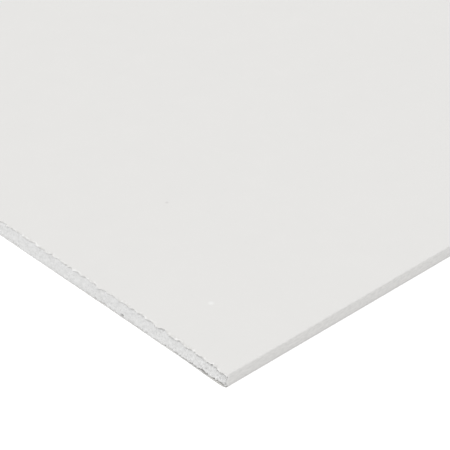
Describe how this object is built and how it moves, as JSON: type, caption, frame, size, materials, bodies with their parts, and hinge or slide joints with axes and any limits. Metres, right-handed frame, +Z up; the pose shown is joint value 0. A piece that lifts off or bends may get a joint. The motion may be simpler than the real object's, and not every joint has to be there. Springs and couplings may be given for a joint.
{
  "type": "drywall sheet",
  "caption": "Flat square-edged gypsum board for lining walls and ceilings: a foamed core in an ivory face paper that wraps its long edges, with a grey back paper.",
  "frame": {"origin": "centre of the back face, so the sheet lies on z = 0", "axes": "+X along the length, +Y across the width, +Z up out of the ivory face"},
  "size_m": [2.4, 1.2, 0.0125],
  "materials": {
    "gypsum": "matt white foamed gypsum, rough and pitted where it is cut",
    "ivory_paper": "smooth matt ivory liner paper",
    "grey_paper": "rough matt recycled grey-brown liner paper"
  },
  "bodies": {
    "root": {"gypsum_core": "gypsum", "face_paper": "ivory_paper", "back_paper": "grey_paper"}
  },
  "joints": []
}
